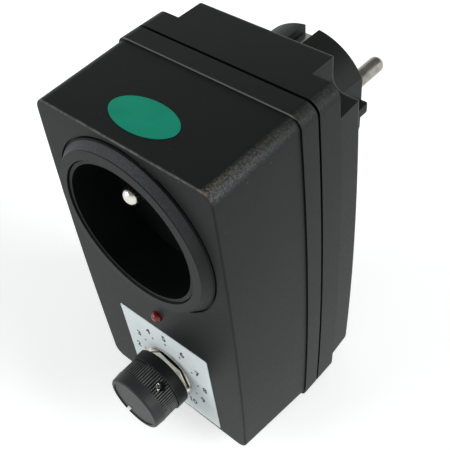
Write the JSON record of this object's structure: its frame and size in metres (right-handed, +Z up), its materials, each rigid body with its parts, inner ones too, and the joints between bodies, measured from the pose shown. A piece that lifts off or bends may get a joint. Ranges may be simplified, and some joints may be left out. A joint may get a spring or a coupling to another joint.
{
  "type": "soldering iron power regulator",
  "caption": "Plug-in mains power regulator with an earthed socket in a raised collar, a dial knob with a 0 to 10 scale, an indicator lamp and an earthed plug at the rear.",
  "frame": {"origin": "middle of the overall width and of the overall depth from knob face to pin tips, at the level of the lowest line of the case, beside the seam", "axes": "+X to the right as seen from the front, +Y from the knob and socket side towards the plug pins, +Z up"},
  "size_m": [0.0606, 0.105, 0.1138],
  "materials": {
    "case_plastic": "fine moulded texture, matt",
    "insert_plastic": "smooth, satin",
    "knob_plastic": "satin",
    "pointer_white": "matt",
    "nickel": "bright nickel plate",
    "steel": "zinc plate",
    "brass": "plain",
    "copper": "enamelled wire",
    "aluminium": "extruded",
    "label_white": "matt film",
    "label_green": "semi-gloss film",
    "lamp_red": "clear tinted",
    "board_green": "lacquered",
    "board_brown": "plain laminate",
    "ferrite": "plain",
    "component_black": "matt",
    "component_yellow": "satin",
    "component_blue": "satin",
    "resistor_tan": "lacquered",
    "fuse_glass": "clear",
    "wire_brown": "satin",
    "wire_black": "satin",
    "wire_blue": "satin"
  },
  "bodies": {
    "housing": {"front_shell": "case_plastic", "rear_shell": "case_plastic", "case_screws": "steel", "socket_insert": "insert_plastic", "insert_screws": "steel", "contact_cover": "insert_plastic", "cover_screw": "steel", "socket_contact_left": "brass", "socket_contact_right": "brass", "socket_earth_pin": "nickel", "plug_body": "case_plastic", "plug_pin_left": "nickel", "plug_pin_right": "nickel", "earth_clip": "nickel", "plug_earth_contact": "brass", "earth_strap": "copper", "potentiometer_can": "steel", "potentiometer_bush": "nickel", "potentiometer_wafer": "board_brown", "potentiometer_terminals": "steel", "bush_washer": "nickel", "bush_nut": "nickel", "indicator_lens": "lamp_red", "indicator_leads": "steel", "scale_label": "label_white", "oval_label": "label_green", "circuit_board": "board_green", "board_screws": "steel", "fuse": "fuse_glass", "fuse_clips": "brass", "choke_core": "ferrite", "choke_winding": "copper", "suppression_capacitor": "component_yellow", "timing_capacitor": "component_blue", "resistors": "resistor_tan", "trigger_diode": "component_blue", "heat_sink": "aluminium", "triac": "component_black", "triac_screw": "steel", "live_wire": "wire_brown", "switched_wire": "wire_black", "neutral_board_wire": "wire_blue", "neutral_wire": "wire_blue"},
    "knob": {"knob": "knob_plastic", "knob_insert": "brass", "knob_set_screw": "nickel", "knob_pointer": "pointer_white", "potentiometer_spindle": "steel", "potentiometer_rotor": "component_black"}
  },
  "joints": [
    {"name": "knob_turn", "type": "hinge", "parent": "housing", "child": "knob", "pos_m": [0, -0.0369, 0.0232], "axis": [0, 1, 0], "range_deg": [0, 300]}
  ]
}
